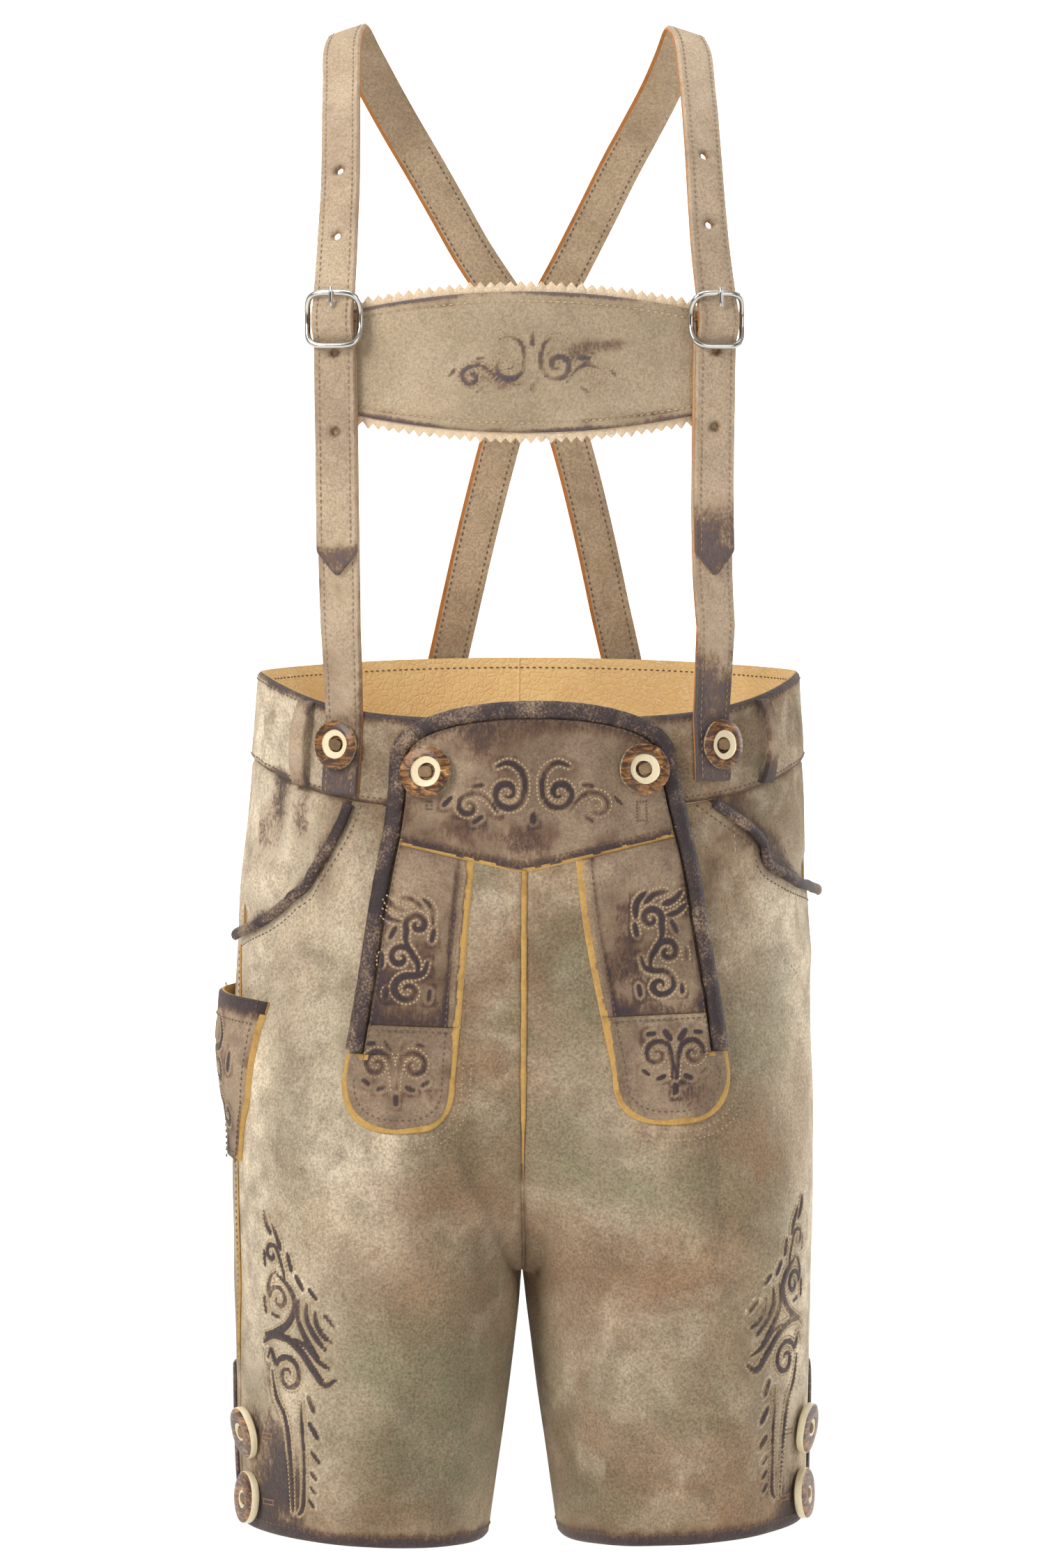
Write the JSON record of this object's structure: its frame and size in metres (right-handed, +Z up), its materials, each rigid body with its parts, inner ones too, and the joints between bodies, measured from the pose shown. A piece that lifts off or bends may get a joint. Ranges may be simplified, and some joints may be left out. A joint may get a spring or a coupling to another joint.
{
  "type": "lederhosen",
  "caption": "Short leather trousers with a buttoned drop front, braces with buckles, a chest bar, a knife pocket and horn buttons.",
  "frame": {"origin": "centre of the waist, level with the waistband's top edge at the sides, where the wearer holds the garment", "axes": "+Z up along the standing wearer, -Y towards the drop front, +X to the wearer's left"},
  "size_m": [0.3005, 0.2281, 0.7473],
  "materials": {
    "suede": "brushed tan suede with greenish grey, brown and cream patches, rubbed dark along edges",
    "trim_suede": "brushed brown suede, rubbed dark at its edges, with stitched scroll ornament",
    "dark_leather": "dark waxed leather, softly creased",
    "brace_leather": "suede strap with orange-brown cut edges",
    "chest_bar_suede": "smooth greyish tan suede",
    "pinked_leather": "light vegetable-tanned leather, pinked edge",
    "nickel": "polished nickel-plated steel",
    "horn": "natural staghorn: mottled brown rind and cream core"
  },
  "bodies": {
    "root": {"back_button_left": "horn", "back_button_right": "horn", "back_left": "suede", "back_right": "suede", "belt_loop_back_left": "trim_suede", "belt_loop_back_right": "trim_suede", "belt_loop_front_left": "trim_suede", "belt_loop_front_right": "trim_suede", "brace_button_left": "horn", "brace_button_right": "horn", "buckle_bar_left": "nickel", "buckle_bar_right": "nickel", "buckle_frame_left": "nickel", "buckle_frame_right": "nickel", "buckle_prong_left": "nickel", "buckle_prong_right": "nickel", "chest_bar": "chest_bar_suede", "chest_bar_backing": "pinked_leather", "crossing_patch": "brace_leather", "flap_binding": "dark_leather", "flap_button_left": "horn", "flap_button_right": "horn", "flap_strip_end_left": "trim_suede", "flap_strip_end_right": "trim_suede", "flap_strip_left": "trim_suede", "flap_strip_right": "trim_suede", "flap_yoke": "trim_suede", "fly_piece": "suede", "front_left": "suede", "front_right": "suede", "hem_button_lower_left": "horn", "hem_button_lower_right": "horn", "hem_button_upper_left": "horn", "hem_button_upper_right": "horn", "hem_tab_left": "dark_leather", "hem_tab_right": "dark_leather", "hip_facing_left": "suede", "hip_facing_right": "suede", "knife_pocket": "trim_suede", "lower_brace_left": "brace_leather", "lower_brace_right": "brace_leather", "pocket_piping_left": "dark_leather", "pocket_piping_right": "dark_leather", "shoulder_brace_left": "brace_leather", "shoulder_brace_right": "brace_leather", "waistband_left": "suede", "waistband_right": "suede"}
  },
  "joints": []
}
